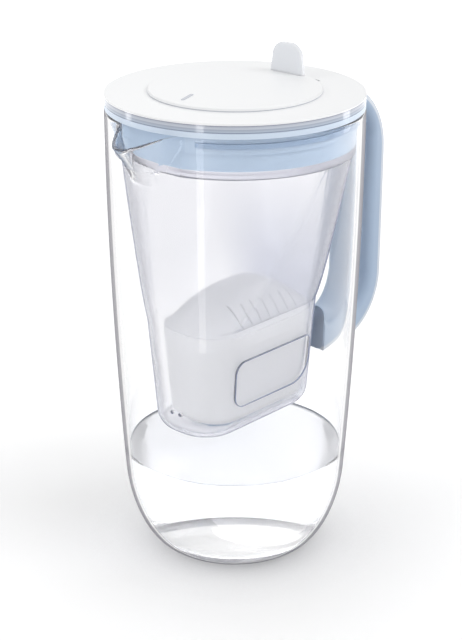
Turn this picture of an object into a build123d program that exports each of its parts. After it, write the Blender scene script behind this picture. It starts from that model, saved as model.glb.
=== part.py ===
from build123d import *
import math
import os

# Water filter pitcher: a glass jug with a lift-out funnel, a filter cartridge, a lid and a fill flap.
# Millimetres. The origin is the centre of the jug's base, +Z up, handle towards +X, spout towards -X.

os.makedirs("parts", exist_ok=True)

# Glass jug
rim_radius = 70.0
rim_height = 256.0
waist_radius = 67.4
waist_height = 134.0
heel_radius = 62.3
heel_height = 46.0
foot_radius = 38.0
foot_pull = 11.5
heel_pull = 22.0
glass_wall = 2.7
glass_floor = 6.5

# Spout, pinched out of the rim
spout_depth = 30.0
spout_reach = 19.0
spout_half_angle = 21.0
spout_root_angle = 7.0
spout_tip_round = 7.8
spout_vee_angle = 37.0
spout_lip_drop = 6.5
spout_full_rise = 1.2
spout_reach_power = 1.2
spout_sharp_power = 0.18
spout_vee_power = 0.6
spout_wall_thinning = 0.6
spout_keel_thickening = 0.25
spout_seam = 0.05

# Collar of the funnel, a light blue ring that hangs in the rim
collar_flange = 2.9
collar_overhang = 0.2
collar_gap = 1.1
collar_depth = 18.0
collar_step_depth = 9.0
collar_step = 1.1
collar_wall = 2.8
pour_cut = 3.8
pour_wall = 2.0
gasket_height = 2.6
gasket_top_drop = 3.2
gasket_depth = 1.3
soft_gap = 0.3

# Funnel bowl, round at the top and oblong at the bottom
neck_height = 12.0
neck_gap = 0.1
bowl_band = 4.5
bowl_wall = 1.9
bowl_throat_lip = 2.0
bowl_depth = 178.5
chamber_height = 64.5
chamber_end_room = 18.0
chamber_side_room = 7.0
chamber_corner_room = 4.0
chamber_taper_length = 12.7
chamber_taper_width = 8.0
chamber_shift = -1.0
funnel_flare = 0.85
funnel_top_straight = 2.0
bowl_bottom_round = 11.0
window_length = 61.5
window_height = 26.8
window_raise = 1.1
window_shift = 1.4
window_tight_corner = 3.0
window_small_corner = 7.0
window_large_corner = 14.0
window_bottom_gap = 18.9
vent_radius = 1.1
vent_spacing = 5.8
vent_height = 15.5
vent_shift = -2.0

# Filter cartridge
cartridge_length = 90.0
cartridge_width = 51.0
cartridge_corner = 22.0
cartridge_taper = 8.0
cartridge_shift = 3.0
cartridge_height = 47.0
cartridge_round = 8.0
cartridge_wall = 1.3
outlet_end = 32.0
outlet_side = 27.0
outlet_corner = 8.0
seal_height = 3.2
seal_width = 1.8
grille_slots = 9
grille_slot_width = 2.2
grille_border = 3.5
fleece_height = 2.0
granule_gap = 0.1
cap_rim_height = 7.4
cap_bead = 0.35
cap_step = 0.9
cap_rise = 20.6
cap_wall = 1.4
cap_slots = 7
cap_slot_width = 0.9
cap_slot_pitch = 7.5
cap_slot_low = 3.0
cap_slot_high = 13.0
screen_wall = 0.6

# Lid
lid_ring_height = 4.1
lid_disc_height = 1.0
lid_edge_round = 0.35
lid_ring_width = 12.8
lid_skirt_depth = 9.5
lid_skirt_wall = 1.8
lid_skirt_gap = 0.5
lid_gasket_height = 2.0
lid_gasket_drop = 5.0
lid_gasket_depth = 0.8
fill_lap = 9.8
fill_shift = -4.0

# Flap and its hinge
flap_margin = 23.2
flap_height = 1.8
flap_edge_round = 0.7
flap_ring_depth = 1.8
flap_ring_wall = 1.8
flap_ring_gap = 0.7
hinge_inset = 3.8
hinge_drop = 1.7
pin_radius = 0.9
pin_running_gap = 0.05
pin_seat_gap = 0.02
lug_radius = 1.6
lug_width = 3.0
knuckle_radius = 2.2
knuckle_width = 6.0
knuckle_inner = 9.5
knuckle_side_gap = 0.3
trough_gap = 0.5
trough_half_width = 21.0
trough_bow = 2.1
trough_depth = 5.6
trough_wall = 1.2
mark_length = 13.0
mark_width = 2.0
mark_height = 0.4
mark_reach = 34.0
mark_side = 2.8
mark_turn = 19.0

# Thumb tab
tab_width = 23.2
tab_top_width = 18.8
tab_rise = 16.9
tab_thickness = 2.4
tab_corner = 8.0
tab_edge_round = 0.8

# Handle
handle_width = 28.0
handle_finger_depth = 34.6
handle_lean = 1.5
handle_top_drop = 2.2
handle_height = 151.2
handle_top_bend = 42.0
handle_bottom_bend = 37.0
handle_bottom_slope = 0.09
handle_thickness = 11.0
handle_cover_thickness = 2.8
handle_inner_round = 4.5
handle_cover_round = 1.2
handle_gap_corner = 9.0
handle_gap_bend = 24.0
handle_bend_limit = 0.7
handle_corner_limit = 0.26
pad_thickness = 0.8
pad_width = 27.0
pad_height = 26.0
pad_corner = 6.0

# Sizes and levels worked out from the ones above
chamber_length = cartridge_length + chamber_end_room
chamber_width = cartridge_width + chamber_side_room
chamber_corner = cartridge_corner + chamber_corner_room
outlet_length = cartridge_length - outlet_end
outlet_width = cartridge_width - outlet_side
flange_top = rim_height + collar_flange
disc_bottom = flange_top + lid_ring_height
lid_top = disc_bottom + lid_disc_height
collar_bottom = rim_height - collar_depth
band_bottom = collar_bottom - bowl_band
bowl_bottom = rim_height - bowl_depth
shoulder = bowl_bottom + chamber_height
chamber_floor = bowl_bottom + bowl_wall
seal_top = chamber_floor + seal_height
housing_top = seal_top + cartridge_height
cap_rim_top = housing_top + cap_rim_height
spout_foot = rim_height - spout_depth
flange_radius = rim_radius - collar_overhang
collar_radius = rim_radius - glass_wall - collar_gap - collar_overhang
collar_bore = collar_radius - collar_wall
pour_flat = collar_radius - pour_cut
neck_radius = collar_bore - neck_gap
throat_radius = neck_radius - bowl_wall
collar_bore_flat = pour_flat - pour_wall
flap_radius = rim_radius - flap_margin
fill_radius = flap_radius - fill_lap
hinge_x = flap_radius - hinge_inset
neck_flat = collar_bore_flat - neck_gap
throat_flat = neck_flat - bowl_wall
past = 1.0


# The jug's outer wall moved out by grow, as a closed half section from floor_height to just over the rim.
def jug_section(grow, floor_height):
    top = rim_height + past
    with BuildSketch(Plane.XZ) as section:
        with BuildLine():
            side = ThreePointArc(
                (heel_radius + grow, heel_height),
                (waist_radius + grow, waist_height),
                (rim_radius + grow, rim_height),
            )
            heel_control = (side @ 0) - (side % 0) * heel_pull
            Bezier(
                (foot_radius + grow, floor_height),
                (foot_radius + grow + foot_pull, floor_height),
                heel_control,
                side @ 0,
            )
            Polyline(
                side @ 1,
                (rim_radius + grow, top),
                (0, top),
                (0, floor_height),
                (foot_radius + grow, floor_height),
            )
        make_face()
    return section.sketch


wall_arc = ThreePointArc((heel_radius, heel_height), (waist_radius, waist_height), (rim_radius, rim_height))
wall_centre = wall_arc.arc_center
wall_side = math.copysign(1, waist_radius - wall_centre.X)


# The radius of the jug's outer wall at a height above the heel.
def wall_radius(height):
    return wall_centre.X + wall_side * math.sqrt(wall_arc.radius**2 - (height - wall_centre.Y) ** 2)


# The jug's plan outline with its beak above the spout's foot, moved in by inset and the seam's small step.
def beak_outline(height, inset):
    rise = (height - spout_foot) / (spout_depth - spout_lip_drop)
    growth = min(rise, 1.0)
    radius = wall_radius(min(height, rim_height)) - inset - spout_seam
    reach = spout_reach * min(rise, spout_full_rise) ** spout_reach_power
    root = math.radians(spout_root_angle + (spout_half_angle - spout_root_angle) * growth)
    sharpness = growth**spout_sharp_power
    tip_round = radius + (spout_tip_round - inset * spout_wall_thinning - radius) * sharpness
    foot_vee = 90 - spout_root_angle / 2
    vee = math.radians(foot_vee + (spout_vee_angle - foot_vee) * growth**spout_vee_power)
    tip = -(radius + reach) + inset * spout_keel_thickening * growth
    root_point = (-radius * math.cos(root), radius * math.sin(root))
    tip_point = (tip + tip_round * (1 - math.sin(vee)), tip_round * math.cos(vee))
    far_root = (root_point[0], -root_point[1])
    far_tip = (tip_point[0], -tip_point[1])
    with BuildSketch(Plane.XY.offset(height)) as outline:
        with BuildLine():
            ThreePointArc(far_root, (radius, 0), root_point)
            leaving = (-math.sin(root), -math.cos(root))
            arriving = (-math.cos(vee), -math.sin(vee))
            Spline(root_point, tip_point, tangents=[leaving, arriving])
            ThreePointArc(tip_point, (tip, 0), far_tip)
            leaving = (math.cos(vee), -math.sin(vee))
            arriving = (math.sin(root), -math.cos(root))
            Spline(far_tip, far_root, tangents=[leaving, arriving])
        make_face()
    return outline.sketch


# A disc with its spout side cut off flat.
def d_disc(radius, flat):
    with BuildSketch() as disc:
        Circle(radius)
        with Locations((-flat - radius, 0)):
            Rectangle(2 * radius, 2 * radius, mode=Mode.SUBTRACT)
    return disc.sketch


# An oblong outline at a height, centred at shift along X.
def oblong(height, length, width, corner, shift):
    with BuildSketch(Plane.XY.offset(height)) as outline:
        with Locations((shift, 0)):
            RectangleRounded(length, width, corner)
    return outline.sketch


# The chamber's outline at a height, moved in by inset: it narrows towards the bottom.
def chamber_outline(height, inset):
    short = 1 - (height - bowl_bottom) / chamber_height
    length = chamber_length - chamber_taper_length * short - 2 * inset
    width = chamber_width - chamber_taper_width * short - 2 * inset
    corner = chamber_corner - chamber_taper_width * short / 2 - inset
    return oblong(height, length, width, corner, chamber_shift)


# The cartridge's outline at a height, moved in by inset: it narrows towards the bottom.
def cartridge_outline(height, inset):
    narrowing = cartridge_taper * (housing_top - height) / cartridge_height + 2 * inset
    length = cartridge_length - narrowing
    width = cartridge_width - narrowing
    return oblong(height, length, width, cartridge_corner - narrowing / 2, cartridge_shift)


# The funnel's outline between the oblong shoulder and the round band, moved in by inset.
def funnel_outline(share, inset):
    blend = share**funnel_flare
    top_left = -pour_flat + bowl_wall
    top_right = neck_radius
    left = chamber_shift - chamber_length / 2
    right = chamber_shift + chamber_length / 2
    low = left + (top_left - left) * blend + inset
    high = right + (top_right - right) * blend - inset
    half_width = chamber_width / 2 + (neck_radius - chamber_width / 2) * blend - inset
    corner = chamber_corner + (neck_radius - funnel_top_straight - chamber_corner) * blend - inset
    height = shoulder + (band_bottom - shoulder) * share
    return oblong(height, high - low, 2 * half_width, corner, (low + high) / 2)


funnel_shares = [0, 0.12, 0.3, 0.55, 0.8, 1]
spout_shares = [0, 0.22, 0.45, 0.7, 1]

# The jug's whole envelope moved in by inset: turned below the spout's foot, lofted with the beak above it.
def jug_envelope(inset, floor_height, extra_top):
    heights = [spout_foot + (spout_depth + extra_top) * share for share in spout_shares]
    with BuildPart() as envelope:
        revolve(jug_section(-inset, floor_height), Axis.Z)
        with BuildSketch(Plane.XY.offset(spout_foot)):
            Circle(2 * rim_radius)
        extrude(amount=2 * spout_depth, mode=Mode.SUBTRACT)
        loft([beak_outline(height, inset) for height in heights])
    return envelope.part


jug_outside = jug_envelope(0, 0, 0)

with BuildPart() as glass_jug:
    add(jug_outside)
    add(jug_envelope(glass_wall, glass_floor, past), mode=Mode.SUBTRACT)
    with BuildSketch(Plane.XZ) as lip_wedge:
        with BuildLine():
            spout_start = -rim_radius * math.cos(math.radians(spout_half_angle))
            spout_end = -rim_radius - 2 * spout_reach
            lip_slope = spout_lip_drop / (rim_radius + spout_reach + spout_start)
            Polyline(
                (spout_start, rim_height),
                (spout_end, rim_height + (spout_end - spout_start) * lip_slope),
                (spout_end, rim_height + spout_depth),
                (spout_start, rim_height + spout_depth),
                close=True,
            )
        make_face()
    extrude(amount=rim_radius, both=True, mode=Mode.SUBTRACT)
glass_jug.part.label = "glass_jug"
export_step(glass_jug.part, "parts/glass_jug.step")


# A ring cut from a d-shaped disc, between two heights.
def d_ring(outer_radius, outer_flat, inner_radius, inner_flat):
    with BuildSketch() as ring:
        add(d_disc(outer_radius, outer_flat))
        add(d_disc(inner_radius, inner_flat), mode=Mode.SUBTRACT)
    return ring.sketch


gasket_top = rim_height - gasket_top_drop
gasket_radius = collar_radius + collar_gap + collar_overhang - soft_gap
gasket_bore = collar_radius - gasket_depth

with BuildPart() as hopper_collar:
    with BuildSketch(Plane.XY.offset(rim_height)):
        Circle(flange_radius)
        add(d_disc(collar_bore, collar_bore_flat), mode=Mode.SUBTRACT)
    extrude(amount=collar_flange)
    with BuildSketch(Plane.XY.offset(collar_bottom)):
        add(d_ring(collar_radius, pour_flat, collar_bore, collar_bore_flat))
    extrude(amount=collar_depth)
    with BuildSketch(Plane.XY.offset(collar_bottom)):
        Circle(rim_radius)
        Circle(collar_radius - collar_step, mode=Mode.SUBTRACT)
    extrude(amount=collar_depth - collar_step_depth, mode=Mode.SUBTRACT)
    with BuildSketch(Plane.XY.offset(gasket_top - gasket_height)):
        Circle(rim_radius)
        Circle(gasket_bore, mode=Mode.SUBTRACT)
        with Locations((-pour_flat - rim_radius + pour_wall, 0)):
            Rectangle(2 * rim_radius, 2 * rim_radius, mode=Mode.SUBTRACT)
    extrude(amount=gasket_height, mode=Mode.SUBTRACT)
hopper_collar.part.label = "hopper_collar"
export_step(hopper_collar.part, "parts/hopper_collar.step")

with BuildPart() as collar_gasket:
    with BuildSketch(Plane.XY.offset(gasket_top - gasket_height)):
        Circle(gasket_radius)
        Circle(gasket_bore, mode=Mode.SUBTRACT)
        with Locations((-pour_flat - rim_radius + pour_wall, 0)):
            Rectangle(2 * rim_radius, 2 * rim_radius, mode=Mode.SUBTRACT)
    extrude(amount=gasket_height)
collar_gasket.part.label = "collar_gasket"
export_step(collar_gasket.part, "parts/collar_gasket.step")


# A tapered form between two heights, from an outline moved in by inset, with its bottom edge rounded.
def tapered_form(outline, inset, start_height, end_height, bottom_round):
    with BuildPart() as form:
        loft([outline(start_height, inset), outline(end_height, inset)], ruled=True)
        fillet(form.faces().sort_by(Axis.Z)[0].edges(), radius=bottom_round)
    return form.part


# The bowl's form moved in by inset: the oblong chamber from start_height, then the funnel up to the band.
def bowl_form(inset, start_height):
    with BuildPart() as form:
        add(tapered_form(chamber_outline, inset, start_height, shoulder, bowl_bottom_round - inset))
        loft([funnel_outline(share, inset) for share in funnel_shares])
    return form.part


window_tilt = math.degrees(math.atan(chamber_taper_width / 2 / chamber_height))
window_centre_height = bowl_bottom + window_bottom_gap + window_height / 2
window_share = (window_centre_height - bowl_bottom) / chamber_height
window_centre_y = -(chamber_width - chamber_taper_width * (1 - window_share)) / 2
window_plane = Plane(
    origin=(chamber_shift + window_shift, window_centre_y, window_centre_height),
    x_dir=(1, 0, 0),
    z_dir=(0, -math.cos(math.radians(window_tilt)), -math.sin(math.radians(window_tilt))),
)

with BuildPart() as hopper_bowl:
    add(bowl_form(0, bowl_bottom))
    with BuildSketch(Plane.XY.offset(band_bottom)):
        add(d_disc(collar_radius - collar_step, pour_flat))
    extrude(amount=bowl_band)
    with BuildSketch(Plane.XY.offset(collar_bottom)):
        add(d_disc(neck_radius, neck_flat))
    extrude(amount=neck_height)
    with BuildSketch(window_plane.offset(-bowl_wall / 2)) as window:
        Rectangle(window_length, window_height)
        fillet(window.vertices().group_by(Axis.X)[0], radius=window_small_corner)
        fillet(window.vertices().group_by(Axis.X)[-1].sort_by(Axis.Y)[-1:], radius=window_tight_corner)
        fillet(window.vertices().group_by(Axis.Y)[0].sort_by(Axis.X)[-1:], radius=window_large_corner)
    extrude(amount=window_raise + bowl_wall / 2)
    add(bowl_form(bowl_wall, chamber_floor), mode=Mode.SUBTRACT)
    throat = funnel_outline(1, bowl_wall)
    extrude(throat, amount=bowl_throat_lip, dir=(0, 0, 1), mode=Mode.SUBTRACT)
    with BuildSketch(Plane.XY.offset(band_bottom + bowl_throat_lip)):
        add(d_disc(throat_radius, throat_flat))
    extrude(amount=bowl_band + neck_height, mode=Mode.SUBTRACT)
    with BuildSketch(Plane.XY.offset(bowl_bottom)):
        with Locations((cartridge_shift, 0)):
            RectangleRounded(outlet_length, outlet_width, outlet_corner)
    extrude(amount=bowl_wall, mode=Mode.SUBTRACT)
    with BuildSketch(Plane.YZ.offset(chamber_shift)):
        with Locations((vent_shift, bowl_bottom + vent_height)):
            with GridLocations(vent_spacing, 0, 2, 1):
                Circle(vent_radius)
    extrude(amount=-chamber_length, mode=Mode.SUBTRACT)
hopper_bowl.part.label = "hopper_bowl"
export_step(hopper_bowl.part, "parts/hopper_bowl.step")


# The cartridge stands in the chamber on its seal.
cavity_bottom = seal_top + cartridge_wall
fleece_top = cavity_bottom + fleece_height
cavity_round = cartridge_round - cartridge_wall

with BuildPart() as cartridge_seal:
    with BuildSketch(Plane.XY.offset(chamber_floor)):
        with Locations((cartridge_shift, 0)):
            RectangleRounded(
                outlet_length + 2 * seal_width, outlet_width + 2 * seal_width, outlet_corner + seal_width
            )
            RectangleRounded(outlet_length, outlet_width, outlet_corner, mode=Mode.SUBTRACT)
    extrude(amount=seal_height)
cartridge_seal.part.label = "cartridge_seal"
export_step(cartridge_seal.part, "parts/cartridge_seal.step")

with BuildPart() as cartridge_housing:
    add(tapered_form(cartridge_outline, 0, seal_top, housing_top, cartridge_round))
    add(
        tapered_form(cartridge_outline, cartridge_wall, cavity_bottom, housing_top, cavity_round),
        mode=Mode.SUBTRACT,
    )
    with BuildSketch(Plane.XY.offset(seal_top)):
        with Locations((cartridge_shift, 0)):
            RectangleRounded(outlet_length, outlet_width, outlet_corner)
    extrude(amount=cartridge_wall, mode=Mode.SUBTRACT)
cartridge_housing.part.label = "cartridge_housing"
export_step(cartridge_housing.part, "parts/cartridge_housing.step")

grille_slot_length = outlet_width - 2 * grille_border

with BuildPart() as cartridge_base_grille:
    with BuildSketch(Plane.XY.offset(seal_top)):
        with Locations((cartridge_shift, 0)):
            RectangleRounded(outlet_length, outlet_width, outlet_corner)
            with GridLocations(outlet_length / (grille_slots + 1), 0, grille_slots, 1):
                SlotOverall(grille_slot_length, grille_slot_width, rotation=90, mode=Mode.SUBTRACT)
    extrude(amount=cartridge_wall)
cartridge_base_grille.part.label = "cartridge_base_grille"
export_step(cartridge_base_grille.part, "parts/cartridge_base_grille.step")


# What fills the housing between two heights, a hair clear of its wall.
def filling(low, high):
    with BuildPart() as fill:
        add(
            tapered_form(
                cartridge_outline, cartridge_wall + granule_gap, cavity_bottom, housing_top, cavity_round
            )
        )
        with BuildSketch(Plane.XY.offset(low)):
            Rectangle(2 * chamber_length, 2 * chamber_width)
        extrude(amount=high - low, mode=Mode.INTERSECT)
    return fill.part


for filling_name, low, high in (
    ("cartridge_fleece", cavity_bottom, fleece_top),
    ("cartridge_granules", fleece_top, housing_top),
):
    filling_part = filling(low, high)
    filling_part.label = filling_name
    export_step(filling_part, f"parts/{filling_name}.step")


# A dome on the cartridge's rim, moved in by inset: its outline shrinks as its height rises by a parabola.
def cap_dome(inset):
    with BuildPart() as dome:
        length = cartridge_length - 2 * cap_step - 2 * inset
        width = cartridge_width - 2 * cap_step - 2 * inset
        corner = cartridge_corner - cap_step - inset
        loft(
            [
                oblong(
                    cap_rim_top + (cap_rise - inset) * (1 - scale**2),
                    length * scale,
                    width * scale,
                    corner * scale,
                    cartridge_shift,
                )
                for scale in dome_scales
            ]
        )
    return dome.part


dome_scales = [1, 0.88, 0.7, 0.45, 0.2]
cap_slot_length = cap_slot_high - cap_slot_low
screen_inset = cap_wall + granule_gap

with BuildPart() as cartridge_cap:
    add(cap_dome(0))
    extrude(cartridge_outline(housing_top, -cap_bead), amount=cap_rim_height)
    add(cap_dome(cap_wall), mode=Mode.SUBTRACT)
    extrude(cartridge_outline(housing_top, cap_step + cap_wall), amount=cap_rim_height, mode=Mode.SUBTRACT)
    with BuildSketch(Plane.XZ.offset(-chamber_width)):
        with Locations((cartridge_shift, cap_rim_top + cap_slot_low + cap_slot_length / 2)):
            with GridLocations(cap_slot_pitch, 0, cap_slots, 1):
                SlotOverall(cap_slot_length, cap_slot_width, rotation=90)
    extrude(amount=2 * chamber_width, mode=Mode.SUBTRACT)
cartridge_cap.part.label = "cartridge_cap"
export_step(cartridge_cap.part, "parts/cartridge_cap.step")

with BuildPart() as cartridge_cap_screen:
    add(cap_dome(screen_inset))
    add(cap_dome(screen_inset + screen_wall), mode=Mode.SUBTRACT)
cartridge_cap_screen.part.label = "cartridge_cap_screen"
export_step(cartridge_cap_screen.part, "parts/cartridge_cap_screen.step")

# Lid
hinge_height = lid_top - hinge_drop
skirt_radius = throat_radius - lid_skirt_gap
skirt_flat = throat_flat - lid_skirt_gap
lid_ring_bore = flange_radius - lid_ring_width
lid_gasket_radius = throat_radius - soft_gap
lid_gasket_flat = throat_flat - soft_gap
lid_gasket_top = flange_top - lid_gasket_drop
hinge_reach = math.hypot(flap_radius - hinge_x, flap_height + hinge_drop)
trough_rear = hinge_x + hinge_reach + trough_gap
trough_front = hinge_x - knuckle_radius - trough_gap

with BuildPart() as lid_ring:
    with BuildSketch(Plane.XY.offset(flange_top)):
        Circle(flange_radius)
        Circle(lid_ring_bore, mode=Mode.SUBTRACT)
    extrude(amount=lid_ring_height)
lid_ring.part.label = "lid_ring"
export_step(lid_ring.part, "parts/lid_ring.step")

with BuildPart() as lid_skirt:
    with BuildSketch(Plane.XY.offset(flange_top - lid_skirt_depth)):
        add(d_ring(skirt_radius, skirt_flat, skirt_radius - lid_skirt_wall, skirt_flat - lid_skirt_wall))
    extrude(amount=lid_skirt_depth)
    with BuildSketch(Plane.XY.offset(lid_gasket_top - lid_gasket_height)):
        Circle(rim_radius)
        add(d_disc(skirt_radius - lid_gasket_depth, skirt_flat - lid_gasket_depth), mode=Mode.SUBTRACT)
    extrude(amount=lid_gasket_height, mode=Mode.SUBTRACT)
lid_skirt.part.label = "lid_skirt"
export_step(lid_skirt.part, "parts/lid_skirt.step")

with BuildPart() as lid_gasket:
    with BuildSketch(Plane.XY.offset(lid_gasket_top - lid_gasket_height)):
        add(
            d_ring(
                lid_gasket_radius,
                lid_gasket_flat,
                skirt_radius - lid_gasket_depth,
                skirt_flat - lid_gasket_depth,
            )
        )
    extrude(amount=lid_gasket_height)
lid_gasket.part.label = "lid_gasket"
export_step(lid_gasket.part, "parts/lid_gasket.step")


# The trough's plan outline under the back of the flap, moved out by grow.
def trough_outline(grow):
    rear = trough_rear + grow
    corner = rear - trough_bow
    front = trough_front - grow
    side = trough_half_width + grow
    with BuildSketch() as outline:
        with BuildLine():
            ThreePointArc((corner, -side), (rear, 0), (corner, side))
            Polyline((corner, side), (front, side), (front, -side), (corner, -side))
        make_face()
    return outline.sketch


knuckle_outer = knuckle_inner + knuckle_width
lug_inner = knuckle_outer + knuckle_side_gap
lug_outer = lug_inner + lug_width
trough_floor = lid_top - trough_depth

with BuildPart() as lid_disc:
    with BuildSketch(Plane.XY.offset(disc_bottom)):
        Circle(rim_radius)
    extrude(amount=lid_disc_height)
    fillet(lid_disc.edges().group_by(Axis.Z)[-1], radius=lid_edge_round)
    with BuildSketch(Plane.XY.offset(trough_floor - trough_wall)):
        add(trough_outline(trough_wall))
    extrude(amount=trough_depth + trough_wall - lid_disc_height)
    with BuildSketch(Plane.XY.offset(trough_floor)):
        add(trough_outline(0))
    extrude(amount=trough_depth + past, mode=Mode.SUBTRACT)
    with BuildSketch(Plane.XY.offset(disc_bottom - past)):
        with Locations((fill_shift, 0)):
            Circle(fill_radius)
    extrude(amount=2 * past + lid_disc_height, mode=Mode.SUBTRACT)
    with BuildSketch(Plane.XZ.offset(-lug_outer)) as lug_profile:
        with Locations((hinge_x, hinge_height)):
            Circle(lug_radius)
        with Locations((hinge_x, (trough_floor + hinge_height) / 2)):
            Rectangle(2 * lug_radius, hinge_height - trough_floor)
    extrude(amount=lug_width)
    mirror(about=Plane.XZ)
    with BuildSketch(Plane.XZ.offset(-lug_outer - past)):
        with Locations((hinge_x, hinge_height)):
            Circle(pin_radius + pin_seat_gap)
    extrude(amount=2 * (lug_outer + past), mode=Mode.SUBTRACT)
lid_disc.part.label = "lid_disc"
export_step(lid_disc.part, "parts/lid_disc.step")

flap_top = lid_top + flap_height

with BuildPart() as flap_disc:
    with BuildSketch(Plane.XY.offset(lid_top)):
        Circle(flap_radius)
    extrude(amount=flap_height)
    fillet(flap_disc.edges().group_by(Axis.Z)[-1], radius=flap_edge_round)
    with BuildSketch(Plane.XY.offset(lid_top - flap_ring_depth)):
        with Locations((fill_shift, 0)):
            Circle(fill_radius - flap_ring_gap)
            Circle(fill_radius - flap_ring_gap - flap_ring_wall, mode=Mode.SUBTRACT)
    extrude(amount=flap_ring_depth)
    with BuildSketch(Plane.XZ.offset(-knuckle_outer)):
        with Locations((hinge_x, hinge_height)):
            Circle(knuckle_radius)
    extrude(amount=knuckle_width)
    with BuildSketch(Plane.XZ.offset(knuckle_inner)):
        with Locations((hinge_x, hinge_height)):
            Circle(knuckle_radius)
    extrude(amount=knuckle_width)
    with BuildSketch(Plane.XZ.offset(-knuckle_outer - past)):
        with Locations((hinge_x, hinge_height)):
            Circle(pin_radius + pin_running_gap)
    extrude(amount=2 * (knuckle_outer + past), mode=Mode.SUBTRACT)
    with BuildSketch(Plane.XY.offset(flap_top)):
        with Locations((-mark_reach, mark_side)):
            SlotOverall(mark_length, mark_width, rotation=mark_turn)
    extrude(amount=mark_height)
flap_disc.part.label = "flap_disc"
export_step(flap_disc.part, "parts/flap_disc.step")

tab_side_angle = math.degrees(math.atan(2 * tab_rise / (tab_width - tab_top_width)))

with BuildPart() as flap_tab:
    with BuildSketch(Plane.YZ.offset(hinge_x - tab_thickness / 2)) as tab_outline:
        with Locations((0, flap_top + tab_rise / 2)):
            Trapezoid(tab_width, tab_rise, tab_side_angle)
        fillet(tab_outline.vertices().group_by(Axis.Y)[-1], radius=tab_corner)
    extrude(amount=tab_thickness)
    front_edges = flap_tab.faces().sort_by(Axis.X)[0].edges().sort_by(Axis.Z)
    fillet(front_edges[1:], radius=tab_edge_round)
flap_tab.part.label = "flap_tab"
export_step(flap_tab.part, "parts/flap_tab.step")

with BuildPart() as flap_hinge_pins:
    with BuildSketch(Plane.XZ.offset(-lug_outer)):
        with Locations((hinge_x, hinge_height)):
            Circle(pin_radius)
    extrude(amount=lug_outer - knuckle_inner)
    mirror(about=Plane.XZ)
flap_hinge_pins.part.label = "flap_hinge_pins"
export_step(flap_hinge_pins.part, "parts/flap_hinge_pins.step")

# Handle
handle_top = rim_height - handle_top_drop
handle_bottom = handle_top - handle_height
inner_reach = max(rim_radius, waist_radius) + handle_finger_depth
handle_reach = inner_reach + handle_thickness
foot_drop = (handle_reach - waist_radius) * handle_bottom_slope
lower_pad_height = handle_bottom - foot_drop + pad_height / 2
upper_pad_height = handle_top - pad_height / 2


# The region between the jug's axis and the handle's outer contour.
def handle_region():
    with BuildSketch(Plane.XZ) as region:
        with BuildLine():
            strap = FilletPolyline(
                (foot_radius, handle_top),
                (handle_reach, handle_top),
                (handle_reach - handle_lean, handle_bottom),
                (foot_radius, handle_bottom - (handle_reach - foot_radius) * handle_bottom_slope),
                radius=[handle_top_bend, handle_bottom_bend],
            )
            Line(strap @ 1, strap @ 0)
        make_face()
    return region.sketch


# The finger gap between the jug's wall and the handle.
def finger_gap():
    gap_bottom = handle_bottom + handle_thickness
    gap_top = handle_top - handle_thickness
    depth = inner_reach - handle_lean - max(wall_radius(gap_bottom), wall_radius(gap_top))
    bend = min(handle_gap_bend, depth * handle_bend_limit)
    corner = min(handle_gap_corner, depth * handle_corner_limit)
    with BuildSketch(Plane.XZ) as region:
        with BuildLine():
            FilletPolyline(
                (wall_radius(gap_top), gap_top),
                (inner_reach, gap_top),
                (inner_reach - handle_lean, gap_bottom),
                (wall_radius(gap_bottom), gap_bottom),
                radius=[corner, bend, bend, corner],
                close=True,
            )
        make_face()
    return region.sketch


# Everything inside the jug's outer wall moved out by grow, as a turned solid.
def jug_solid(grow):
    with BuildPart() as body:
        revolve(jug_section(grow, 0), Axis.Z)
    return body.part


jug_and_pad = jug_solid(pad_thickness)

with BuildPart() as handle_cover:
    with BuildSketch(Plane.XZ):
        add(handle_region())
    extrude(amount=handle_width / 2, both=True)
    strap_sides = handle_cover.faces().filter_by(Axis.Y)
    outer_edges = strap_sides.edges().filter_by_position(Axis.X, foot_radius + past, handle_reach + past)
    fillet(outer_edges, radius=handle_cover_round)
    with BuildSketch(Plane.XZ):
        offset(handle_region(), amount=-handle_cover_thickness)
    extrude(amount=handle_width, both=True, mode=Mode.SUBTRACT)
    add(jug_and_pad, mode=Mode.SUBTRACT)
handle_cover.part.label = "handle_cover"
export_step(handle_cover.part, "parts/handle_cover.step")

with BuildPart() as handle_frame:
    with BuildSketch(Plane.XZ):
        offset(handle_region(), amount=-handle_cover_thickness)
        add(finger_gap(), mode=Mode.SUBTRACT)
    extrude(amount=handle_width / 2, both=True)
    strap_sides = handle_frame.faces().filter_by(Axis.Y)
    gap_edges = [edge for side in strap_sides for wire in side.inner_wires() for edge in wire.edges()]
    fillet(gap_edges, radius=handle_inner_round)
    add(jug_and_pad, mode=Mode.SUBTRACT)
handle_frame.part.label = "handle_frame"
export_step(handle_frame.part, "parts/handle_frame.step")


# A bonding pad between the jug's wall and an end of the handle.
def bonding_pad(centre_height):
    with BuildPart() as pad:
        with BuildSketch(Plane.YZ.offset(foot_radius)):
            with Locations((0, centre_height)):
                RectangleRounded(pad_width, pad_height, pad_corner)
        extrude(amount=rim_radius)
        add(jug_and_pad, mode=Mode.INTERSECT)
        add(jug_outside, mode=Mode.SUBTRACT)
    return pad.part


for pad_name, centre_height in (
    ("handle_upper_pad", upper_pad_height),
    ("handle_lower_pad", lower_pad_height),
):
    pad_part = bonding_pad(centre_height)
    pad_part.label = pad_name
    export_step(pad_part, f"parts/{pad_name}.step")
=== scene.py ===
import math

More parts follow.
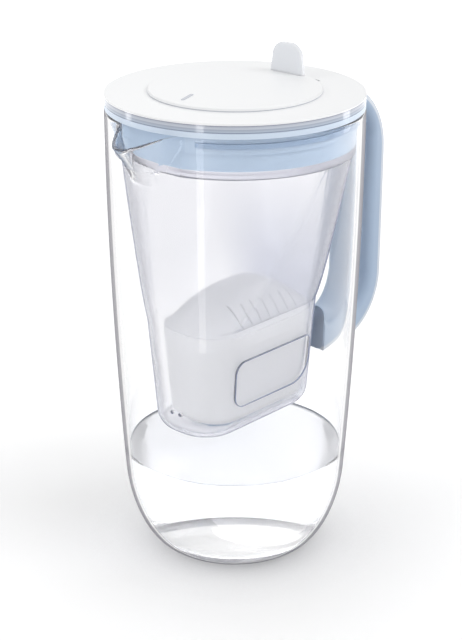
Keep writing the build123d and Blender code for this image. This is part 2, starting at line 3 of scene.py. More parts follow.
import bmesh
import bpy
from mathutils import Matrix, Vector


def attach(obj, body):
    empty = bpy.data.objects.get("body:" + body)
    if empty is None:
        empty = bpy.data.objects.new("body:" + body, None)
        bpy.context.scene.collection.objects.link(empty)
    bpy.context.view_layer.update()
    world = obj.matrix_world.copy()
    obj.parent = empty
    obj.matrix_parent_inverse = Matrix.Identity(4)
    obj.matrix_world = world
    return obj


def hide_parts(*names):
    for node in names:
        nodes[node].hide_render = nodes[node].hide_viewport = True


# Looks for the water filter pitcher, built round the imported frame. Metres, +Z up, spout towards -X.
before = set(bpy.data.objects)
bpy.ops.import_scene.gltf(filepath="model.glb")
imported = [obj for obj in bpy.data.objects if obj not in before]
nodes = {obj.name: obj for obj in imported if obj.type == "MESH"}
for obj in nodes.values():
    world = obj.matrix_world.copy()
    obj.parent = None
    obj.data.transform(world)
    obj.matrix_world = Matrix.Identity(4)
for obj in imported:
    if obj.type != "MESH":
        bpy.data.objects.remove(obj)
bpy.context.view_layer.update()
MM = 0.001

# Settings that several nodes share, and the sockets of a colour mix: first colour, second colour, result.
SMOOTH_STEP = {"interpolation_type": "SMOOTHSTEP"}
COLOUR_MIX = {"data_type": "RGBA"}
PRODUCT, LARGER = {"operation": "MULTIPLY"}, {"operation": "MAXIMUM"}
MIX_FIRST, MIX_SECOND, MIX_RESULT = 6, 7, 2


def linear(code):
    """An sRGB hex colour as Blender's linear colour."""
    channels = [int(code[i : i + 2], 16) / 255 for i in (1, 3, 5)]
    return [c / 12.92 if c <= 0.04045 else ((c + 0.055) / 1.055) ** 2.4 for c in channels] + [1.0]


def add(material, kind, settings=None, inputs=None, links=None):
    """Adds a node with its settings, its socket values and the sockets that feed it."""
    tree = material.node_tree
    node = tree.nodes.new(kind)
    for name, value in (settings or {}).items():
        setattr(node, name, value)
    for name, value in (inputs or {}).items():
        node.inputs[name].default_value = value
    for name, source in (links or {}).items():
        tree.links.new(source, node.inputs[name])
    return node


def new_material(name):
    """An empty node material and its output node."""
    material = bpy.data.materials.new(name)
    material.use_nodes = True
    material.node_tree.nodes.clear()
    return material, add(material, "ShaderNodeOutputMaterial")


def fill_ramp(node, stops):
    """Sets a colour ramp's stops, each a place from 0 to 1 and a colour."""
    elements = node.color_ramp.elements
    while len(elements) < len(stops):
        elements.new(1.0)
    for element, (place, colour) in zip(elements, stops):
        element.position = place
        element.color = colour


def position_of(material):
    """The place towards the handle and the height above the jug's base, as sockets."""
    place = add(material, "ShaderNodeTexCoord")
    split = add(material, "ShaderNodeSeparateXYZ", links={"Vector": place.outputs["Object"]})
    return split.outputs["X"], split.outputs["Z"]


def height_colour(material, bands):
    """A colour socket that goes through bands of colour, each at a height in millimetres."""
    low, high = bands[0][0] * MM, bands[-1][0] * MM
    height = position_of(material)[1]
    share = add(material, "ShaderNodeMapRange", None, {"From Min": low, "From Max": high}, {"Value": height})
    ramp = add(material, "ShaderNodeValToRGB", links={"Fac": share.outputs[0]})
    fill_ramp(ramp, [((at * MM - low) / (high - low), linear(code)) for at, code in bands])
    return ramp.outputs["Color"]


def fine_bump(material, grain, depth):
    """A bump from fine noise, with its grain and depth in metres."""
    place = add(material, "ShaderNodeTexCoord")
    noise = add(
        material,
        "ShaderNodeTexNoise",
        inputs={"Scale": 1 / grain, "Detail": 3.0},
        links={"Vector": place.outputs["Object"]},
    )
    return add(
        material,
        "ShaderNodeBump",
        inputs={"Strength": 1.0, "Distance": depth},
        links={"Height": noise.outputs["Fac"]},
    )


# Typical indices of moulded plastic, silicone rubber and polystyrene.
PLASTIC_INDEX, SILICONE_INDEX, STYRENE_INDEX = 1.52, 1.41, 1.5
# How far light travels inside a plastic that lets a little of it in.
INNER_GLOW = 2 * MM


def moulded_plastic(
    name, colour, roughness, ior=PLASTIC_INDEX, grain=1.6 * MM, depth=0.004 * MM, subsurface=0.0, bands=None
):
    """Moulded plastic: a satin skin with the faint orange peel of a polished mould."""
    material, output = new_material(name)
    bump = fine_bump(material, grain, depth)
    shader = add(
        material,
        "ShaderNodeBsdfPrincipled",
        inputs={
            "Base Color": linear(colour),
            "Roughness": roughness,
            "IOR": ior,
            "Subsurface Weight": subsurface,
            "Subsurface Radius": (1.0, 1.0, 1.0),
            "Subsurface Scale": INNER_GLOW,
        },
        links={"Normal": bump.outputs["Normal"]},
    )
    link = material.node_tree.links.new
    if bands:
        link(height_colour(material, bands), shader.inputs["Base Color"])
    link(shader.outputs["BSDF"], output.inputs["Surface"])
    return material


def clear_solid(name, ior, roughness, lamp_pass, tint=None, density=0.0, edge=None, zones=None):
    """A clear solid that lets lamp light through.

    Its tint takes a little of the light away inside it. Its edge, a list of (facing, colour, amount) stops,
    paints shade and highlight by facing at its outline, where light takes the long way through a wall.
    """
    material, output = new_material(name)
    link = material.node_tree.links.new
    shader = add(
        material,
        "ShaderNodeBsdfPrincipled",
        inputs={
            "Base Color": linear("#FFFFFF"),
            "Roughness": roughness,
            "IOR": ior,
            "Transmission Weight": 1.0,
        },
    )
    if zones:
        zones(material, shader)
    seen = shader.outputs["BSDF"]
    if edge:
        facing = add(material, "ShaderNodeLayerWeight", inputs={"Blend": 0.5})
        colours = add(material, "ShaderNodeValToRGB", links={"Fac": facing.outputs["Facing"]})
        amounts = add(material, "ShaderNodeValToRGB", links={"Fac": facing.outputs["Facing"]})
        fill_ramp(colours, [(place, linear(code)) for place, code, amount in edge])
        fill_ramp(amounts, [(place, (amount, amount, amount, 1)) for place, code, amount in edge])
        # Painted light and shade: this diffuse layer lays the edge's colours over the surface, by facing.
        body = add(material, "ShaderNodeBsdfDiffuse", links={"Color": colours.outputs["Color"]})
        blend = add(material, "ShaderNodeMixShader", links={"Fac": amounts.outputs["Color"]})
        link(seen, blend.inputs[1])
        link(body.outputs["BSDF"], blend.inputs[2])
        seen = blend.outputs["Shader"]
    path = add(material, "ShaderNodeLightPath")
    through = add(material, "ShaderNodeBsdfTransparent", inputs={"Color": linear(lamp_pass)})
    mix = add(material, "ShaderNodeMixShader", links={"Fac": path.outputs["Is Shadow Ray"]})
    link(seen, mix.inputs[1])
    link(through.outputs["BSDF"], mix.inputs[2])
    link(mix.outputs["Shader"], output.inputs["Surface"])
    if tint:
        inner = {"Color": linear(tint), "Density": density}
        body = add(material, "ShaderNodeVolumeAbsorption", inputs=inner)
        link(body.outputs["Volume"], output.inputs["Volume"])
    return material


# Blown borosilicate glass: colourless, with a painted grey shade line at its outline and a painted white
# highlight beside it. Its index is set low, because that keeps the mirror images in it as faint as in the
# photograph's soft light.
GLASS_INDEX = 1.27
GLASS_PAINTED_EDGE = [
    (0.0, "#D6D6DC", 0.0),
    (0.35, "#D6D6DC", 0.0),
    (0.55, "#DCDCE0", 0.1),
    (0.7, "#E4E4E8", 0.25),
    (0.735, "#FFFFFF", 0.8),
    (0.765, "#FFFFFF", 0.8),
    (0.785, "#A9A8AE", 0.85),
    (1.0, "#98979E", 0.9),
]
outer_glass = clear_solid("borosilicate_outside", GLASS_INDEX, 0.0, "#FCFCFD", edge=GLASS_PAINTED_EDGE)
inner_glass = clear_solid("borosilicate_inside", GLASS_INDEX, 0.0, "#FCFCFD")

# The drawn beak is the same glass at its real index, with strong blue-grey shade painted at its outlines.
BEAK_INDEX = 1.47
BEAK_PAINTED_EDGE = [(0.0, "#7C8AA6", 0.0), (0.5, "#7C8AA6", 0.0), (0.75, "#66768F", 0.5), (1.0, "#3F4D69", 0.9)]
beak_glass = clear_solid("thick_borosilicate", BEAK_INDEX, 0.0, "#F6F8FB", edge=BEAK_PAINTED_EDGE)

# Water, for the picture: clear, with a painted pale sheen on top and a painted grey shade line where it
# climbs the glass. Its index is low for the same reason as the glass's.
WATER_INDEX = 1.2
WATER_PAINTED_SHEEN = [(0.0, "#F8F9FC", 0.55), (1.0, "#F8F9FC", 0.55)]
WATER_PAINTED_LINE = [(0.0, "#BFC4D0", 0.6), (1.0, "#BFC4D0", 0.6)]
water = clear_solid("water", WATER_INDEX, 0.0, "#FDFDFE")
water_top = clear_solid("water_surface", WATER_INDEX, 0.05, "#FDFDFE", edge=WATER_PAINTED_SHEEN)
water_line = clear_solid("water_meniscus", WATER_INDEX, 0.05, "#FDFDFE", edge=WATER_PAINTED_LINE)

# The funnel's moulded styrene: clear round the cartridge, a touch greyer above it, with painted shade low
# at its handle end and painted lavender-grey shade at its outline, and frosted in the band under the collar.
FUNNEL_BANDS = [(140, "#FCFCFD"), (165, "#F5F5F7"), (233.2, "#F5F5F7"), (233.8, "#E9E9F0")]
HANDLE_END = {"From Min": 22 * MM, "From Max": 53 * MM}
END_FADE = {"From Min": 140 * MM, "From Max": 215 * MM, "To Min": 1.0, "To Max": 0.0}
FROST = {"From Min": 233.2 * MM, "From Max": 233.8 * MM, "To Min": 0.1, "To Max": 0.45}
FUNNEL_PAINTED_EDGE = [(0.0, "#A9ABB9", 0.0), (0.42, "#A9ABB9", 0.0), (0.75, "#9A9DB0", 0.35), (1.0, "#6C7290", 0.9)]


def funnel_zones(material, shader):
    """Gives the funnel's plastic its bands, the painted shade at its handle end and its frosted top."""
    along_x, height = position_of(material)
    near_handle = add(material, "ShaderNodeMapRange", SMOOTH_STEP, HANDLE_END, {"Value": along_x})
    low_down = add(material, "ShaderNodeMapRange", SMOOTH_STEP, END_FADE, {"Value": height})
    # Painted shade: the colour darkens towards the handle end, fading out with height.
    depth = add(
        material, "ShaderNodeMath", PRODUCT, links={0: near_handle.outputs[0], 1: low_down.outputs[0]}
    )
    end_shaded_colour = add(
        material,
        "ShaderNodeMix",
        COLOUR_MIX,
        {MIX_SECOND: linear("#D3D6E2")},
        {0: depth.outputs[0], MIX_FIRST: height_colour(material, FUNNEL_BANDS)},
    )
    frost = add(material, "ShaderNodeMapRange", SMOOTH_STEP, FROST, {"Value": height})
    material.node_tree.links.new(end_shaded_colour.outputs[MIX_RESULT], shader.inputs["Base Color"])
    material.node_tree.links.new(frost.outputs[0], shader.inputs["Roughness"])


styrene = clear_solid(
    "clear_styrene",
    STYRENE_INDEX,
    0.1,
    "#FCFCFD",
    tint="#C4C6D6",
    density=22,
    edge=FUNNEL_PAINTED_EDGE,
    zones=funnel_zones,
)

# White moulded ABS: an even satin white with soft highlights.
white_abs = moulded_plastic("white_abs", "#FBFCFD", 0.3)

# The flap's ABS is white, with a painted shadow line at its foot and painted shade that greys its raised bar.
FLAP_PAINTED_SHADE = [
    (264.02, "#FBFCFD"),
    (264.07, "#B4B8C2"),
    (264.25, "#B4B8C2"),
    (264.6, "#FBFCFD"),
    (265.85, "#FBFCFD"),
    (266.05, "#C9CDD6"),
]
flap_abs = moulded_plastic("flap_white_abs", "#FBFCFD", 0.3, bands=FLAP_PAINTED_SHADE)

# Pale blue moulded ABS: satin, and softened at its edges by the light that enters it.
blue_abs = moulded_plastic("pale_blue_abs", "#A9BCD3", 0.34, subsurface=0.1)

# The collar's ABS is the same blue, and its flange, which lies in the light, is painted paler than the skirt
# below.
COLLAR_PAINTED_LIGHT = [(255.6, "#AEC1D7"), (256.0, "#D6E4F5")]
collar_abs = moulded_plastic("collar_blue_abs", "#A9BCD3", 0.34, bands=COLLAR_PAINTED_LIGHT)

# The handle cover's ABS: nearly white, with a breath of blue and a little more gloss.
cover_abs = moulded_plastic("blue_white_abs", "#D3DAE4", 0.28, subsurface=0.15)

# The line round the window is painted shade: the dark that the clear styrene's rounded edge gathers, drawn as
# a fine blue-grey line.
window_edge_shade = moulded_plastic("painted_window_edge_shade", "#6F7A97", 0.2)

# The ring under the lid is clear styrene, glossy, with painted streaks of light and shade for what lies
# behind it, and painted shadow lines under the lid and at its foot.
RING_PAINTED_STREAKS = [
    (258.9, "#7C89A3"),
    (259.31, "#8D99AF"),
    (259.72, "#B7C3D3"),
    (260.745, "#A4AEC0"),
    (261.36, "#C9CFDA"),
    (262.426, "#B4BAC8"),
    (262.754, "#878EA2"),
    (263.0, "#7C8399"),
]
ring_styrene = moulded_plastic("painted_streak_styrene", "#B6C1CF", 0.1, bands=RING_PAINTED_STREAKS)

# Soft rubbers: the bonding pads are dull and flat, the moulded silicone a little glossier.
pad_rubber = moulded_plastic("bonding_rubber", "#9DB4D0", 0.5)
silicone = moulded_plastic("silicone_rubber", "#92A8C4", 0.4, ior=SILICONE_INDEX)

# Polypropylene lets light in: the thin tab looks milky, and the cartridge a soft matte white.
tab_pp = moulded_plastic("milky_tab", "#EDEFF3", 0.25, subsurface=0.6)
white_pp = moulded_plastic("white_polypropylene", "#FAFBFC", 0.45, subsurface=0.2)

# The hinge pins are drawn steel: a dull grey, all but hidden in the lid's lugs.
pin_steel = moulded_plastic("drawn_steel", "#B8BABD", 0.3)

# Needled polyester fleece: fully matt, with tufts of 0.4 mm.
fleece_felt = moulded_plastic("polyester_fleece", "#E8E8E8", 0.95, grain=0.4 * MM, depth=0.2 * MM)

# Woven polyester screen: flat and pale. Its real threads of about 0.1 mm are drawn as a grain of 0.5 mm.
screen_cloth = moulded_plastic("woven_screen", "#F4F5F8", 0.8, grain=0.5 * MM, depth=0.1 * MM)

# Activated carbon and resin: near black and rough, with grains of 0.9 mm.
granule_mix = moulded_plastic("carbon_granules", "#2A2827", 0.85, grain=0.9 * MM, depth=0.5 * MM)

FINISHES = {
    "glass_jug": outer_glass,
    "handle_frame": blue_abs,
    "handle_cover": cover_abs,
    "handle_upper_pad": pad_rubber,
    "handle_lower_pad": pad_rubber,
    "hopper_collar": collar_abs,
    "collar_gasket": silicone,
    "hopper_bowl": styrene,
    "lid_disc": white_abs,
    "lid_ring": ring_styrene,
    "lid_skirt": white_abs,
    "lid_gasket": silicone,
    "flap_hinge_pins": pin_steel,
    "flap_disc": flap_abs,
    "flap_tab": tab_pp,
    "cartridge_housing": white_pp,
    "cartridge_cap": white_pp,
    "cartridge_cap_screen": screen_cloth,
    "cartridge_granules": granule_mix,
    "cartridge_fleece": fleece_felt,
    "cartridge_base_grille": white_pp,
    "cartridge_seal": silicone,
}
for name, finish in FINISHES.items():
    nodes[name].data.materials.clear()
    nodes[name].data.materials.append(finish)


def turned(section, steps):
    """A closed mesh turned about the jug's axis, from a section that starts and ends on it."""
    mesh = bmesh.new()
    verts = [mesh.verts.new(point) for point in section]
    edges = [mesh.edges.new(pair) for pair in zip(verts, verts[1:])]
    turn = {"cent": (0, 0, 0), "axis": (0, 0, 1), "angle": 2 * math.pi}
    bmesh.ops.spin(mesh, geom=verts + edges, steps=steps, use_merge=True, **turn)
    bmesh.ops.remove_doubles(mesh, verts=mesh.verts, dist=1e-7)
    bmesh.ops.recalc_face_normals(mesh, faces=mesh.faces)
    return mesh


def placed(name, mesh, finishes):
    """An object in the scene from a bmesh, with its materials in order."""
    data = bpy.data.meshes.new(name)
    mesh.to_mesh(data)
    mesh.free()
    for finish in finishes:
        data.materials.append(finish)
    piece = bpy.data.objects.new(name, data)
    bpy.context.scene.collection.objects.link(piece)
    return piece


# Glass jug: a turned wall with a rounded lip, and a spout drawn out of it. The sizes are the solid's own.
RIM_RADIUS, RIM_HEIGHT = 70.0 * MM, 256.0 * MM
WAIST_RADIUS, WAIST_HEIGHT = 67.4 * MM, 134.0 * MM
HEEL_RADIUS, HEEL_HEIGHT = 62.3 * MM, 46.0 * MM
FOOT_RADIUS, FOOT_PULL, HEEL_PULL = 38.0 * MM, 11.5 * MM, 22.0 * MM
GLASS_WALL, GLASS_FLOOR = 2.7 * MM, 6.5 * MM
LIP_ROUND = GLASS_WALL / 2
LIP_HEIGHT = RIM_HEIGHT - LIP_ROUND
HEEL_STEPS, WALL_STEPS, NECK_STEPS, LIP_STEPS, JUG_STEPS = 14, 24, 16, 8, 288
# The share of the steps round the jug that is spread evenly. The rest crowd towards the spout.
EVEN_SHARE = 0.35

SPOUT_FOOT, SPOUT_REACH, SPOUT_LIP_DROP = 226.0 * MM, 19.0 * MM, 6.5 * MM
SPOUT_TIP_ROUND, BEAK_FOOT, BEAK_START = 7.8 * MM, 236 * MM, -71 * MM
SPOUT_HALF_ANGLE, SPOUT_ROOT_ANGLE, SPOUT_VEE_ANGLE = math.radians(21), math.radians(7), math.radians(37)
# The powers by which reach, tip and sides grow from the spout's foot up, and where the reach's growth ends.
REACH_POWER, ROUND_POWER, VEE_POWER, REACH_END = 1.2, 0.18, 0.6, 1.2
# The shares of the inset by which the tip's radius shrinks and the tip's place moves in.
TIP_ROUND_SHARE, TIP_PLACE_SHARE = 0.6, 0.25
TIP_STEPS, SIDE_STEPS = 12, 24


def circle_through(low, middle, high):
    """Centre and radius of the circle through three points of a section."""
    (x1, z1), (x2, z2), (x3, z3) = low, middle, high
    twice = 2 * (x1 * (z2 - z3) + x2 * (z3 - z1) + x3 * (z1 - z2))
    s1, s2, s3 = x1 * x1 + z1 * z1, x2 * x2 + z2 * z2, x3 * x3 + z3 * z3
    x = (s1 * (z2 - z3) + s2 * (z3 - z1) + s3 * (z1 - z2)) / twice
    z = (s1 * (x3 - x2) + s2 * (x1 - x3) + s3 * (x2 - x1)) / twice
    return x, z, math.hypot(x1 - x, z1 - z)


WALL_X, WALL_Z, WALL_BEND = circle_through(
    (HEEL_RADIUS, HEEL_HEIGHT), (WAIST_RADIUS, WAIST_HEIGHT), (RIM_RADIUS, RIM_HEIGHT)
)


def wall_radius(height):
    """The outer radius of the jug's wall at a height."""
    return WALL_X + math.sqrt(WALL_BEND**2 - (height - WALL_Z) ** 2)


def heel_curve(inset, floor):
    """The round heel from the floor's edge up to the wall, moved in by inset."""
    slope_x, slope_z = -(HEEL_HEIGHT - WALL_Z) / WALL_BEND, (HEEL_RADIUS - WALL_X) / WALL_BEND
    start = Vector((FOOT_RADIUS - inset, 0, floor))
    first = Vector((FOOT_RADIUS - inset + FOOT_PULL, 0, floor))
    end = Vector((HEEL_RADIUS - inset, 0, HEEL_HEIGHT))
    second = end - Vector((slope_x, 0, slope_z)) * HEEL_PULL
    points = []
    for step in range(HEEL_STEPS + 1):
        t = step / HEEL_STEPS
        lower = start * (1 - t) ** 3 + first * 3 * t * (1 - t) ** 2
        points.append(lower + second * 3 * t * t * (1 - t) + end * t**3)
    return points


def wall_line(inset, low, high, steps):
    """Points of the upright wall between two heights, moved in by inset."""
    heights = [low + (high - low) * step / steps for step in range(1, steps + 1)]
    return [Vector((wall_radius(height) - inset, 0, height)) for height in heights]


def jug_section():
    """The jug's section, from under its floor over the rounded lip and down to the floor's top."""
    section = [Vector((0, 0, 0))] + heel_curve(0, 0)
    section += wall_line(0, HEEL_HEIGHT, SPOUT_FOOT, WALL_STEPS)
    section += wall_line(0, SPOUT_FOOT, LIP_HEIGHT, NECK_STEPS)
    middle = wall_radius(LIP_HEIGHT) - LIP_ROUND
    for step in range(1, LIP_STEPS):
        turn = math.pi * step / LIP_STEPS
        across, up = LIP_ROUND * math.cos(turn), LIP_ROUND * math.sin(turn)
        section.append(Vector((middle + across, 0, LIP_HEIGHT + up)))
    section += wall_line(GLASS_WALL, SPOUT_FOOT, LIP_HEIGHT, NECK_STEPS)[::-1]
    section += wall_line(GLASS_WALL, HEEL_HEIGHT, SPOUT_FOOT, WALL_STEPS)[::-1]
    section += heel_curve(GLASS_WALL, GLASS_FLOOR)[::-1]
    return section + [Vector((0, 0, GLASS_FLOOR))]


def spout_half_outline(height, inset):
    """Half of the beak's outline at a height, from tip to root: points, lengths so far and root angle."""
    rise = (height - SPOUT_FOOT) / (RIM_HEIGHT - SPOUT_FOOT - SPOUT_LIP_DROP)
    growth = min(max(rise, 0.0), 1.0)
    radius = wall_radius(height) - inset
    reach = SPOUT_REACH * min(max(rise, 0.0), REACH_END) ** REACH_POWER
    root = SPOUT_ROOT_ANGLE + (SPOUT_HALF_ANGLE - SPOUT_ROOT_ANGLE) * growth
    tip_round = radius + (SPOUT_TIP_ROUND - inset * TIP_ROUND_SHARE - radius) * growth**ROUND_POWER
    foot_vee = math.pi / 2 - SPOUT_ROOT_ANGLE / 2
    vee = foot_vee + (SPOUT_VEE_ANGLE - foot_vee) * growth**VEE_POWER
    centre = tip_round - (radius + reach) + inset * TIP_PLACE_SHARE * growth
    start = Vector((-radius * math.cos(root), radius * math.sin(root)))
    end = Vector((centre - tip_round * math.sin(vee), tip_round * math.cos(vee)))
    chord = (end - start).length
    leaving = Vector((-math.sin(root), -math.cos(root))) * chord
    arriving = Vector((-math.cos(vee), -math.sin(vee))) * chord
    points = []
    for step in range(TIP_STEPS + 1):
        angle = (math.pi / 2 - vee) * step / TIP_STEPS
        points.append(Vector((centre - tip_round * math.cos(angle), tip_round * math.sin(angle))))
    for step in range(1, SIDE_STEPS + 1):
        t = 1 - step / SIDE_STEPS
        points.append(
            start * (2 * t**3 - 3 * t * t + 1)
            + leaving * (t**3 - 2 * t * t + t)
            + end * (3 * t * t - 2 * t**3)
            + arriving * (t**3 - t * t)
        )
    lengths = [0.0]
    for before, after in zip(points, points[1:]):
        lengths.append(lengths[-1] + (after - before).length)
    return points, lengths, root


def along(points, lengths, share):
    """The point at a share of a line's length."""
    goal = share * lengths[-1]
    for index in range(1, len(lengths)):
        if lengths[index] >= goal:
            break
    span = lengths[index] - lengths[index - 1]
    return points[index - 1].lerp(points[index], (goal - lengths[index - 1]) / span if span else 0.0)


def is_inside(face):
    """Whether a face of the turned jug belongs to its inner wall or floor."""
    middle = face.calc_center_median()
    turned_in = face.normal.x * middle.x + face.normal.y * middle.y < 0
    return middle.z < LIP_HEIGHT and (turned_in or face.normal.z > 0.9)


def draw_spout(mesh):
    """Crowds the jug's steps towards -X, lowers the lip there and draws the beak out of the wall."""
    for vert in mesh.verts:
        radius = math.hypot(vert.co.x, vert.co.y)
        if radius < 1e-6:
            continue
        share = math.atan2(vert.co.y, -vert.co.x) / math.pi
        azimuth = math.pi * (EVEN_SHARE * share + (1 - EVEN_SHARE) * share**3)
        vert.co.x, vert.co.y = -radius * math.cos(azimuth), radius * math.sin(azimuth)
        if vert.co.z <= SPOUT_FOOT or abs(azimuth) >= SPOUT_HALF_ANGLE:
            continue
        inset = wall_radius(min(vert.co.z, LIP_HEIGHT)) - radius
        points, lengths, root = spout_half_outline(RIM_HEIGHT - SPOUT_LIP_DROP, inset)
        top = along(points, lengths, abs(azimuth) / root)
        start = -RIM_RADIUS * math.cos(SPOUT_HALF_ANGLE)
        drop = SPOUT_LIP_DROP * max(start - top.x, 0.0) / (RIM_RADIUS + SPOUT_REACH + start)
        vert.co.z = SPOUT_FOOT + (vert.co.z - SPOUT_FOOT) * (1 - drop / (RIM_HEIGHT - SPOUT_FOOT))
        points, lengths, root = spout_half_outline(vert.co.z, inset)
        if abs(azimuth) < root:
            place = along(points, lengths, abs(azimuth) / root)
            vert.co.x, vert.co.y = place.x, math.copysign(place.y, azimuth)


def make_jug():
    """The visible jug, in place of the solid: outside, inside and beak each have their own glass."""
    mesh = turned(jug_section(), JUG_STEPS)
    inside = [is_inside(face) for face in mesh.faces]
    draw_spout(mesh)
    bmesh.ops.recalc_face_normals(mesh, faces=mesh.faces)
    for face, inner in zip(mesh.faces, inside):
        middle = face.calc_center_median()
        in_beak = middle.x < BEAK_START and middle.z > BEAK_FOOT
        face.smooth = True
        face.material_index = 2 if in_beak else int(inner)
    jug = placed("glass_jug_body", mesh, [outer_glass, inner_glass, beak_glass])
    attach(jug, "jug")
    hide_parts("glass_jug")


make_jug()


# Window on the funnel: the raised field is bare, and a painted dark shade line runs round it, heavier below
# and to the right. Each corner has its side along the window, its side up it, its radius and its first angle
# in degrees.
WINDOW_LENGTH, WINDOW_HEIGHT = 61.5 * MM, 26.8 * MM
WINDOW_CORNERS = [(1, -1, 14 * MM, 270), (1, 1, 3 * MM, 0), (-1, 1, 7 * MM, 90), (-1, -1, 7 * MM, 180)]
WINDOW_CENTRE = Vector((0.4, -27.0, 109.8)) * MM
WINDOW_TILT, WINDOW_RAISE = math.radians(3.55), 1.1 * MM
SHADE_LINE_THIN, SHADE_LINE_THICK, CORNER_STEPS = 0.22 * MM, 0.5 * MM, 12


def make_window_shade_line():
    """A thin painted shade line, as a curve whose thickness changes round the window."""
    half_length, half_height = WINDOW_LENGTH / 2, WINDOW_HEIGHT / 2
    up = Vector((0, -math.sin(WINDOW_TILT), math.cos(WINDOW_TILT)))
    out = Vector((0, -math.cos(WINDOW_TILT), -math.sin(WINDOW_TILT)))
    curve = bpy.data.curves.new("window_shade_line", "CURVE")
    curve.dimensions = "3D"
    curve.bevel_depth = SHADE_LINE_THICK
    curve.bevel_resolution = 2
    points = []
    for side, height_side, radius, first in WINDOW_CORNERS:
        for step in range(CORNER_STEPS + 1):
            angle = math.radians(first + 90 * step / CORNER_STEPS)
            across = side * (half_length - radius) + radius * math.cos(angle)
            upward = height_side * (half_height - radius) + radius * math.sin(angle)
            weight = max(0.0, (across / half_length - upward / half_height) / 2)
            place = WINDOW_CENTRE + Vector((across, 0, 0)) + up * upward + out * WINDOW_RAISE
            points.append((place, (SHADE_LINE_THIN + (SHADE_LINE_THICK - SHADE_LINE_THIN) * weight) / SHADE_LINE_THICK))
    line = curve.splines.new("POLY")
    line.points.add(len(points) - 1)
    line.use_cyclic_u = True
    for point, (place, thickness) in zip(line.points, points):
        point.co = (*place, 1)
        point.radius = thickness
    shade_line = bpy.data.objects.new("window_shade_line", curve)
    bpy.context.scene.collection.objects.link(shade_line)
    curve.materials.append(window_edge_shade)
    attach(shade_line, "hopper")


make_window_shade_line()


# Water for the picture, as on the photograph. It belongs to the stage, not to the jug. It laps a little into
# the glass, and climbs it at its edge.
WATER_HEIGHT, WATER_CLIMB, WATER_LAP = 59.6 * MM, 0.7 * MM, 0.15 * MM
WATER_WALL_STEPS, WATER_STEPS = 4, 128


def make_water():
    """The turned water, with a painted sheen on its top and a painted grey shade line on the edge that
    climbs.
    """
    inset = GLASS_WALL - WATER_LAP
    floor = GLASS_FLOOR - WATER_LAP
    section = [Vector((0, 0, floor))] + heel_curve(inset, floor)
    section += wall_line(inset, HEEL_HEIGHT, WATER_HEIGHT + WATER_CLIMB, WATER_WALL_STEPS)
    section.append(Vector((wall_radius(WATER_HEIGHT) - inset - WATER_CLIMB, 0, WATER_HEIGHT)))
    section.append(Vector((0, 0, WATER_HEIGHT)))
    mesh = turned(section, WATER_STEPS)
    for face in mesh.faces:
        face.smooth = face.normal.z < 0.3
        if not face.smooth:
            face.material_index = 1 if face.normal.z > 0.99 else 2
    placed("water", mesh, [water, water_top, water_line])


make_water()


# Stage: a pale floor that shows white, keeps the soft shadow and has a painted shadow near the object, a
# white world and large soft lamps.
FLOOR_HALF, FLOOR_DROP, SHADOW_REACH = 4.0, 0.4 * MM, 0.16
# Seen through the jug, the floor is painted brighter and pale blue under and round its base. Far off, it
# fades to white.
UNDER_BASE = {"From Min": 260 * MM, "From Max": 120 * MM}
FAR_FLOOR = {"From Min": 0.5, "From Max": 1.3}
# How strongly the floor glows to the eye: by itself, and where it is seen through the jug, where the extra
# glow is painted light.
FLOOR_GLOW = {"To Min": 0.2, "To Max": 0.4}


def floor_material():
    """A rough pale floor with a painted shadow near the object, and a glow that only the eye and mirrors see.
    """
    material, output = new_material("pale_floor")
    path = add(material, "ShaderNodeLightPath")
    direct = add(
        material,
        "ShaderNodeMath",
        LARGER,
        links={0: path.outputs["Is Camera Ray"], 1: path.outputs["Is Glossy Ray"]},
    )
    seen = add(
        material,
        "ShaderNodeMath",
        LARGER,
        links={0: direct.outputs[0], 1: path.outputs["Is Transmission Ray"]},
    )
    place = add(material, "ShaderNodeTexCoord")
    reach = add(
        material, "ShaderNodeVectorMath", {"operation": "LENGTH"}, links={0: place.outputs["Object"]}
    )
    radius = {"Value": reach.outputs["Value"]}
    # Painted light: seen through the jug, the floor near its base glows brighter and turns pale blue.
    near_base = add(material, "ShaderNodeMapRange", SMOOTH_STEP, UNDER_BASE, radius)
    under = add(
        material,
        "ShaderNodeMath",
        PRODUCT,
        links={0: near_base.outputs[0], 1: path.outputs["Is Transmission Ray"]},
    )
    far = add(material, "ShaderNodeMapRange", SMOOTH_STEP, FAR_FLOOR, radius)
    glow = add(material, "ShaderNodeMapRange", SMOOTH_STEP, FLOOR_GLOW, {"Value": under.outputs[0]})
    brightness = add(material, "ShaderNodeMath", LARGER, links={0: glow.outputs[0], 1: far.outputs[0]})
    lift = add(material, "ShaderNodeMath", PRODUCT, links={0: seen.outputs[0], 1: brightness.outputs[0]})
    # Painted shadow: ambient occlusion greys the floor's colour near the object.
    near = add(material, "ShaderNodeAmbientOcclusion", {"samples": 8}, {"Distance": SHADOW_REACH})
    shadow = add(
        material,
        "ShaderNodeMix",
        COLOUR_MIX,
        {MIX_FIRST: linear("#7E7E80"), MIX_SECOND: linear("#FFFFFF")},
        {0: near.outputs["AO"]},
    )
    shade = add(
        material,
        "ShaderNodeMix",
        COLOUR_MIX,
        {MIX_SECOND: linear("#F3F5FA")},
        {0: under.outputs[0], MIX_FIRST: shadow.outputs[MIX_RESULT]},
    )
    shader = add(
        material,
        "ShaderNodeBsdfPrincipled",
        inputs={"Roughness": 1.0, "Specular IOR Level": 0.0, "Emission Color": (1, 1, 1, 1)},
        links={"Emission Strength": lift.outputs[0], "Base Color": shade.outputs[MIX_RESULT]},
    )
    material.node_tree.links.new(shader.outputs["BSDF"], output.inputs["Surface"])
    return material


def make_floor():
    """A flat floor just under the jug's base."""
    mesh = bmesh.new()
    bmesh.ops.create_grid(mesh, x_segments=1, y_segments=1, size=FLOOR_HALF)
    floor = placed("floor", mesh, [floor_material()])
    floor.location.z = -FLOOR_DROP


make_floor()

# The room's strength as light on the object and in reflections.
ROOM_LIGHT, ROOM_REFLECTION = 0.66, 0.8


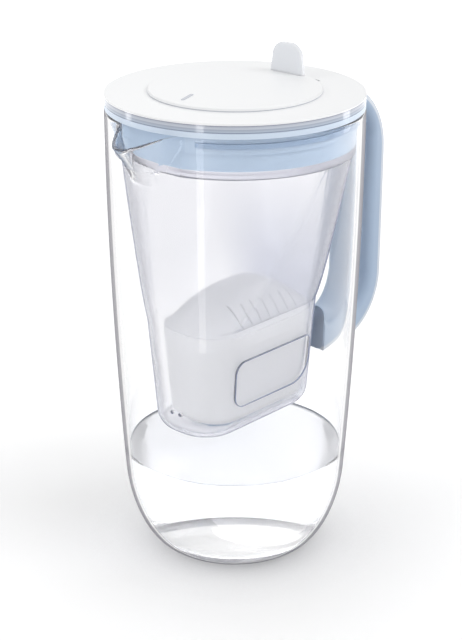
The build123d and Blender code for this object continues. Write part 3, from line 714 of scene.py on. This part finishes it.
def make_world():
    """A white room: full white to the eye and through glass, dimmer in reflections and as light."""
    world = bpy.data.worlds.new("studio")
    bpy.context.scene.world = world
    world.use_nodes = True
    world.node_tree.nodes.clear()
    path = add(world, "ShaderNodeLightPath")
    direct = add(
        world,
        "ShaderNodeMath",
        LARGER,
        links={0: path.outputs["Is Camera Ray"], 1: path.outputs["Is Transmission Ray"]},
    )
    lit = add(
        world,
        "ShaderNodeMapRange",
        inputs={"To Min": ROOM_LIGHT, "To Max": ROOM_REFLECTION},
        links={"Value": path.outputs["Is Glossy Ray"]},
    )
    strength = add(
        world,
        "ShaderNodeMapRange",
        inputs={"To Max": 1.0},
        links={"Value": direct.outputs[0], "To Min": lit.outputs[0]},
    )
    background = add(
        world,
        "ShaderNodeBackground",
        inputs={"Color": (1, 1, 1, 1)},
        links={"Strength": strength.outputs[0]},
    )
    add(world, "ShaderNodeOutputWorld", links={"Surface": background.outputs[0]})


make_world()


def soft_lamp(name, place, power, width, height, aim_height):
    """An area lamp turned towards the jug's axis. Without a height it is round."""
    lamp = bpy.data.lights.new(name, "AREA")
    lamp.shape = "RECTANGLE" if height else "DISK"
    lamp.size = width
    lamp.size_y = height or width
    lamp.energy = power
    holder = bpy.data.objects.new(name, lamp)
    holder.location = place
    aim = Vector((0, 0, aim_height)) - Vector(place)
    holder.rotation_mode = "QUATERNION"
    holder.rotation_quaternion = aim.to_track_quat("-Z", "Y")
    bpy.context.scene.collection.objects.link(holder)
    return holder


# Each soft lamp: its name, its place in metres and its power in watts.
LAMPS = [("key", (0.5, -1.2, 1.4), 8.3), ("fill", (-1.2, 0.7, 1.1), 3.6), ("back", (0.9, 1.2, 1.3), 3)]
LAMP_WIDTH, LAMP_AIM = 1.0, 0.13
for name, place, power in LAMPS:
    soft_lamp(name, place, power, LAMP_WIDTH, None, LAMP_AIM)

# Narrow cards that show only as upright glints in glass and gloss. Each has its name, its azimuth in
# degrees, its width, foot and top in metres and its power in watts.
CARDS = [
    ("left card", 125.6, 0.04, 0.146, 0.3, 0.08),
    ("middle card", 194.8, 0.035, 0.0, 0.34, 0.2),
    ("right card", 325.4, 0.06, 0.17, 0.3, 0.09),
]
CARD_REACH = 0.34
for name, azimuth, width, foot, top, power in CARDS:
    turn = math.radians(azimuth)
    middle = (foot + top) / 2
    place = (CARD_REACH * math.cos(turn), CARD_REACH * math.sin(turn), middle)
    card = soft_lamp(name, place, power, width, top - foot, middle)
    card.visible_diffuse = False
    card.visible_transmission = False

# Camera, fitted to the photograph's ellipses of the lid, the rim and the foot, and to the handle.
CAMERA_PLACE = Vector((-0.6848, -0.6137, 0.4925))
CAMERA_PITCH = math.radians(21.375)
CAMERA_HEADING = Vector((0.7431, 0.6691, 0))
CAMERA_LENS, CAMERA_SENSOR = 99.35, 36
camera_data = bpy.data.cameras.new("camera")
camera_data.lens = CAMERA_LENS
camera_data.sensor_width = CAMERA_SENSOR
camera = bpy.data.objects.new("camera", camera_data)
camera.location = CAMERA_PLACE
look = CAMERA_HEADING * math.cos(CAMERA_PITCH) - Vector((0, 0, math.sin(CAMERA_PITCH)))
camera.rotation_mode = "QUATERNION"
camera.rotation_quaternion = look.to_track_quat("-Z", "Y")
bpy.context.scene.collection.objects.link(camera)

# A ray crosses eight surfaces or more on its way through the jug and the funnel, so it has bounces to spare.
scene = bpy.context.scene
scene.camera = camera
scene.view_settings.view_transform = "Standard"
scene.cycles.max_bounces = 24
scene.cycles.transmission_bounces = 24
scene.cycles.glossy_bounces = 8
scene.cycles.transparent_max_bounces = 32
